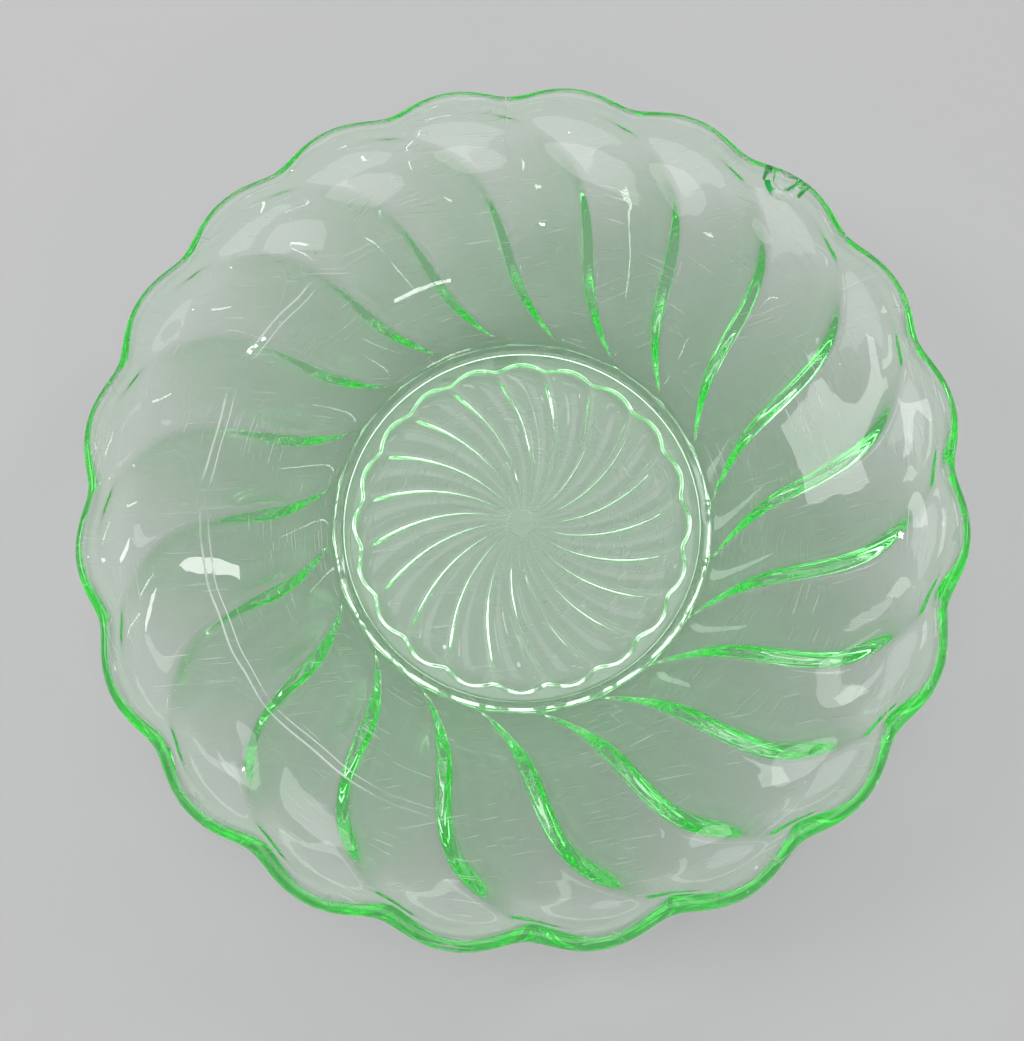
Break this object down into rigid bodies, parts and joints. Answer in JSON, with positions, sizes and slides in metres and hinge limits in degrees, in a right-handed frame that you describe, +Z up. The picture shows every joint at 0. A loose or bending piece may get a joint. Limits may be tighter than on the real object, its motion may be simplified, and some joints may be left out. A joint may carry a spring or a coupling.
{
  "type": "swirled pressed-glass dish",
  "caption": "Shallow round dish of green pressed glass with a swirled, lobed wall, a scalloped rim, a flat well and a low foot ring round a fluted rosette.",
  "frame": {"origin": "centre of the foot ring's resting plane", "axes": "+Z up through the middle of the dish, +X through the middle of one rim scallop, +Y follows the right-hand rule"},
  "size_m": [0.216, 0.216, 0.052],
  "materials": {
    "glass": "fire-polished pressed glass of a pale yellow-green that looks vivid green where it is seen edge-on",
    "ground_glass": "the same glass with a worn, slightly frosted surface where it rests and where the flutes run out"
  },
  "bodies": {
    "root": {"foot_ring": "ground_glass", "rosette": "glass", "centre_button": "ground_glass", "well_floor": "glass", "swirl_wall": "glass", "scalloped_rim": "glass"}
  },
  "joints": []
}
